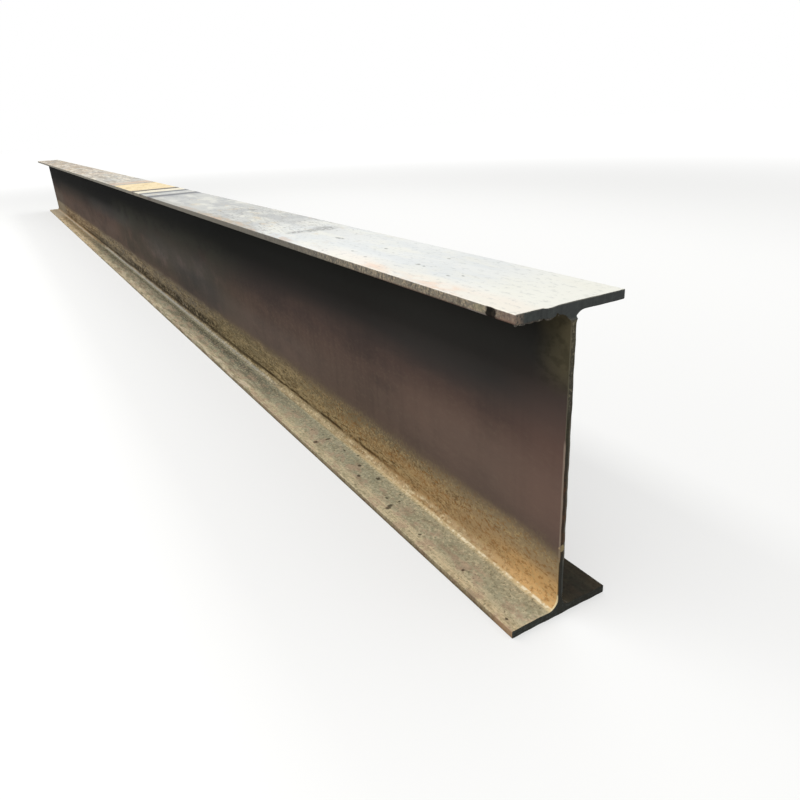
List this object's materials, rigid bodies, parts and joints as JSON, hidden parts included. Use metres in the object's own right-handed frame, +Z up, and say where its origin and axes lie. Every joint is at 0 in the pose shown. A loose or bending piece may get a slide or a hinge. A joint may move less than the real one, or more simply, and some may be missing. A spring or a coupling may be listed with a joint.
{
  "type": "steel h-beam",
  "caption": "Long hot-rolled steel beam of H section: two parallel flanges joined by a thin deep web with filleted roots, its ends torch-cut and its mill scale rusting.",
  "frame": {"origin": "half-way along the beam, under the middle of the lower flange, on the surface that it rests on", "axes": "+X along the beam towards its head end, the one whose upper flange was cut in two goes; +Y across the flanges; +Z up through the web"},
  "size_m": [12, 0.3, 0.792],
  "materials": {
    "rusted_mill_scale": "hot-rolled structural steel with dark grey-brown mill scale, ochre rust bloom on the web and lower flange, and slate-grey torch-cut ends"
  },
  "bodies": {
    "root": {"h_beam": "rusted_mill_scale"}
  },
  "joints": []
}
